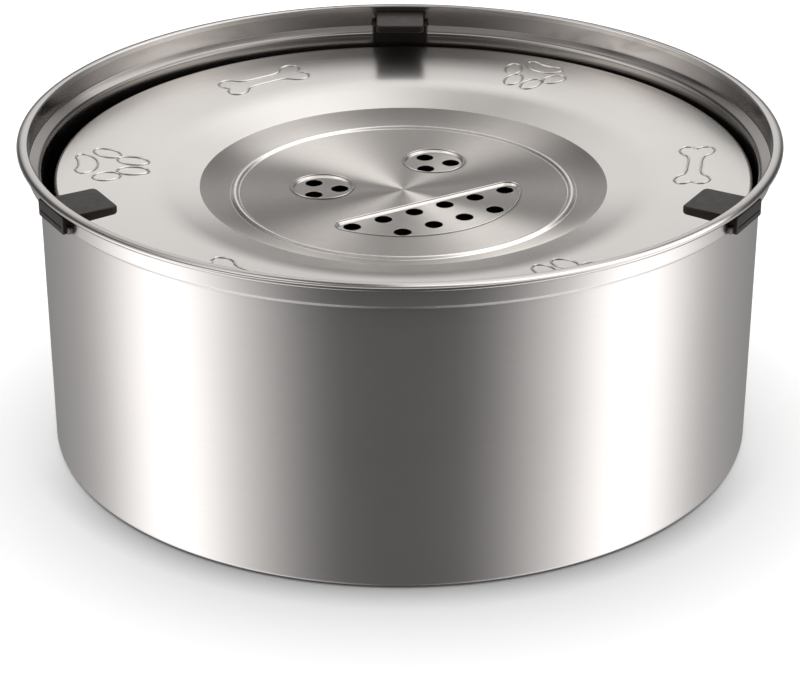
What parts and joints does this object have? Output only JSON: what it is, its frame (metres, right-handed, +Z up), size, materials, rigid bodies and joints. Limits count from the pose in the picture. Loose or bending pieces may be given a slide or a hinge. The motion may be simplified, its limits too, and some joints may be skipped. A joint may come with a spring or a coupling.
{
  "type": "pet water bowl",
  "caption": "Round steel no-spill water bowl for pets. A perforated drinking disc floats on the water inside it, kept in by rubber clips that pass through slots under the lip.",
  "frame": {"origin": "centre of the bowl's underside, on the surface it stands on", "axes": "+Z up, along the bowl's axis. +Y points to the back clip, away from the picture's viewer, and +X to the viewer's right."},
  "size_m": [0.27, 0.27, 0.114],
  "materials": {
    "steel": "brushed, polished at the lip",
    "rubber": "matte",
    "float_plastic": "satin"
  },
  "bodies": {
    "bowl_body": {"bowl": "steel", "base_ring": "rubber", "edge_guard_back": "rubber", "edge_guard_left": "rubber", "edge_guard_right": "rubber"},
    "disc_body": {"disc_plate": "steel", "float_cover": "float_plastic", "float_tray": "float_plastic"},
    "clip_back_body": {"clip_back": "rubber"},
    "clip_left_body": {"clip_left": "rubber"},
    "clip_right_body": {"clip_right": "rubber"}
  },
  "joints": [
    {"name": "disc_float", "type": "slide", "parent": "bowl_body", "child": "disc_body", "axis": [0, 0, 1], "range_m": [-0.0747, 0.008], "stiffness_N_per_m": 333, "springref_m": 0.0121},
    {"name": "clip_back_pull", "type": "slide", "parent": "bowl_body", "child": "clip_back_body", "axis": [0, 1, 0], "range_m": [0, 0.022]},
    {"name": "clip_left_pull", "type": "slide", "parent": "bowl_body", "child": "clip_left_body", "axis": [-0.866, -0.5, 0], "range_m": [0, 0.022]},
    {"name": "clip_right_pull", "type": "slide", "parent": "bowl_body", "child": "clip_right_body", "axis": [0.866, -0.5, 0], "range_m": [0, 0.022]}
  ]
}
